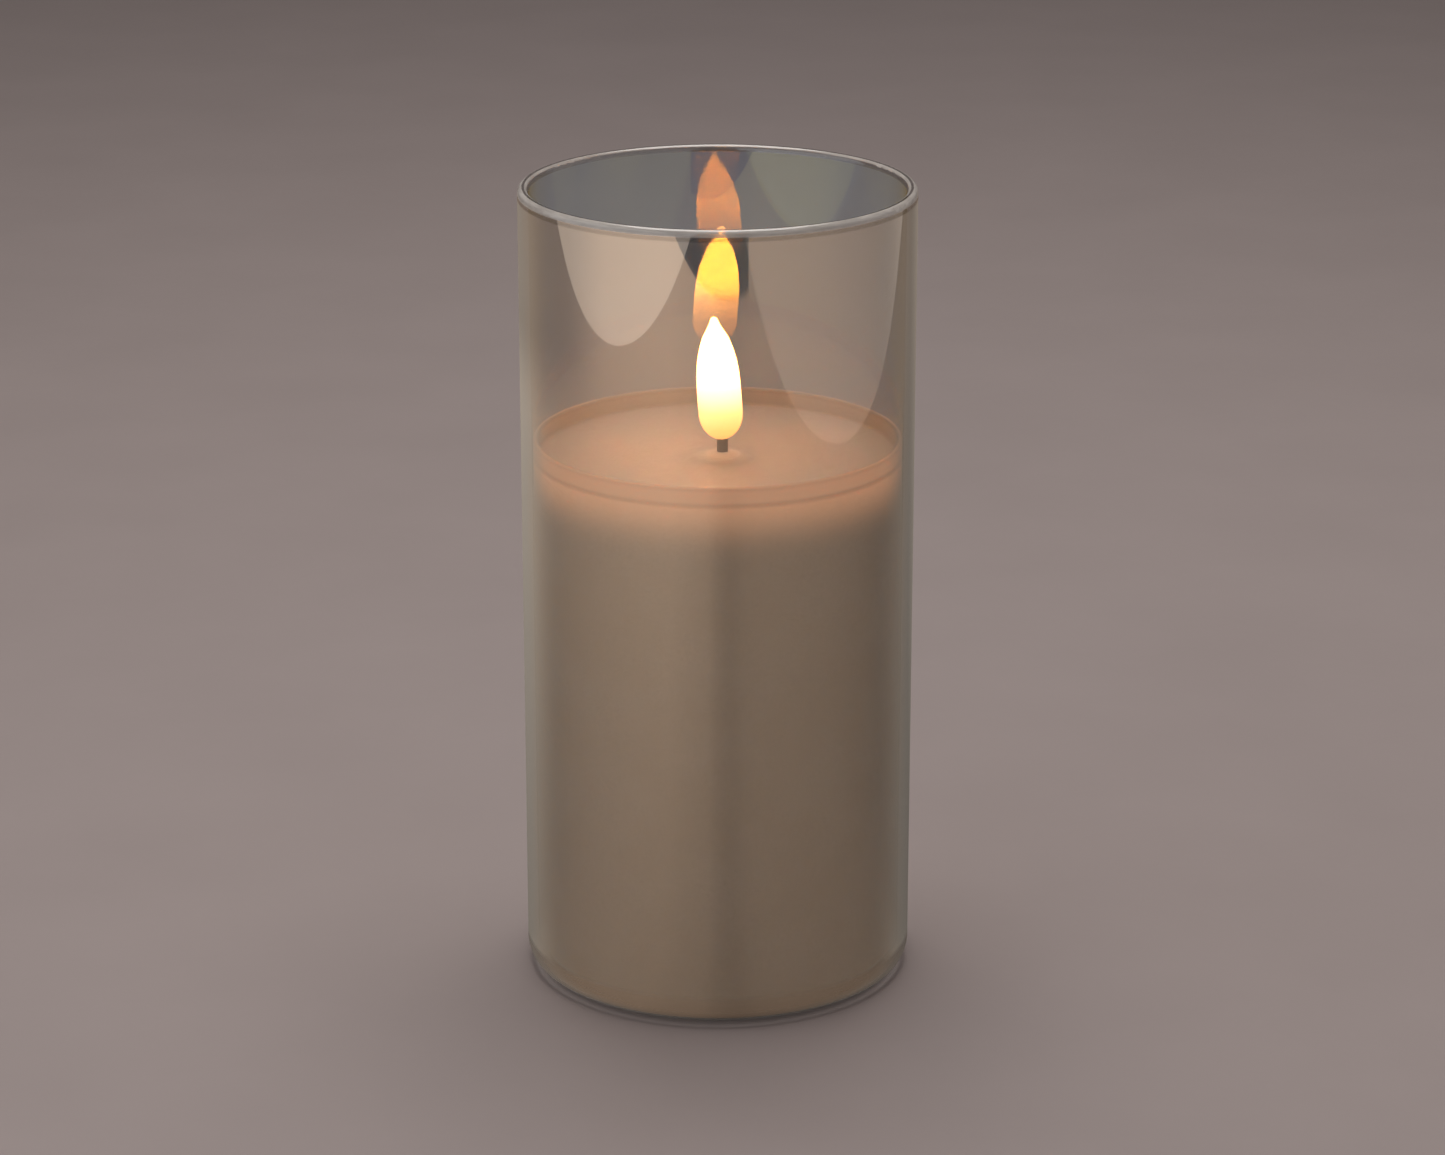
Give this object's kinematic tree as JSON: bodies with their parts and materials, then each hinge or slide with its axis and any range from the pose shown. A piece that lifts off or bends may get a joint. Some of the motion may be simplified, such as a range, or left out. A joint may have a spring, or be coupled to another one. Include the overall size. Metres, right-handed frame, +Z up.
{
  "type": "battery candle in a glass cylinder",
  "caption": "Battery candle: a recessed wax pillar with a glowing flame lamp stands inside a tall smoked glass cylinder, with a hinged battery door and slide switch underneath.",
  "frame": {"origin": "centre of the glass's foot ring, on the surface it stands on", "axes": "+Z up along the glass's axis; the front looks along +Y; +X is to the front's right"},
  "size_m": [0.074, 0.074, 0.153],
  "materials": {
    "smoked_glass": "smooth, thin half-mirror smoke tint",
    "wax": "ivory paraffin wax, satin",
    "flame_plastic": "frosted translucent, lit from inside",
    "led_epoxy": "clear tinted epoxy",
    "tinned_wire": "tinned",
    "wick_plastic": "black, matt",
    "holder_plastic": "natural white moulding",
    "sleeve_plastic": "shrunk sleeve, satin",
    "red_wire": "soft insulation",
    "black_wire": "soft insulation",
    "housing_plastic": "ivory moulding, fine grain",
    "knob_plastic": "black moulding, fine grain",
    "screw_steel": "zinc plated",
    "adhesive": "clear elastic adhesive",
    "cell_steel": "nickel plated",
    "cell_film": "plain printed film",
    "contact_steel": "nickel plated spring steel",
    "board_laminate": "green solder mask",
    "chip_plastic": "moulded, matt",
    "crystal_steel": "drawn can",
    "capacitor_film": "shrunk film on aluminium",
    "resistor_ceramic": "glazed top, tinned ends",
    "switch_steel": "tinned sheet",
    "switch_laminate": "paper laminate",
    "wiper_brass": "spring brass"
  },
  "bodies": {
    "candle": {"glass_cylinder": "smoked_glass", "wax_pillar": "wax", "flame_diffuser": "flame_plastic", "led_lamp": "led_epoxy", "led_leads": "tinned_wire", "wick_tube": "wick_plastic", "lamp_holder": "holder_plastic", "joint_sleeves": "sleeve_plastic", "lamp_wire_red": "red_wire", "lamp_wire_black": "black_wire", "base_housing": "housing_plastic", "housing_cover": "housing_plastic", "cover_screws": "screw_steel", "adhesive_ring": "adhesive", "front_cell_can": "cell_steel", "front_cell_film": "cell_film", "rear_cell_can": "cell_steel", "rear_cell_film": "cell_film", "positive_contact": "contact_steel", "negative_contact": "contact_steel", "bridge_contact": "contact_steel", "contact_springs": "contact_steel", "battery_wire_red": "red_wire", "battery_wire_black": "black_wire", "timer_board": "board_laminate", "board_screws": "screw_steel", "timer_chip": "chip_plastic", "chip_legs": "tinned_wire", "crystal": "crystal_steel", "capacitor": "capacitor_film", "chip_resistors": "resistor_ceramic", "switch_shell": "switch_steel", "switch_base": "switch_laminate", "switch_pins": "tinned_wire"},
    "door": {"battery_door": "housing_plastic"},
    "knob": {"switch_knob": "knob_plastic", "switch_wiper": "wiper_brass"}
  },
  "joints": [
    {"name": "battery_door_hinge", "type": "hinge", "parent": "candle", "child": "door", "pos_m": [-0.02225, 0, 0.0023], "axis": [0, 1, 0], "range_deg": [0, 95]},
    {"name": "switch_slide", "type": "slide", "parent": "candle", "child": "knob", "axis": [1, 0, 0], "range_m": [0, 0.004]}
  ]
}
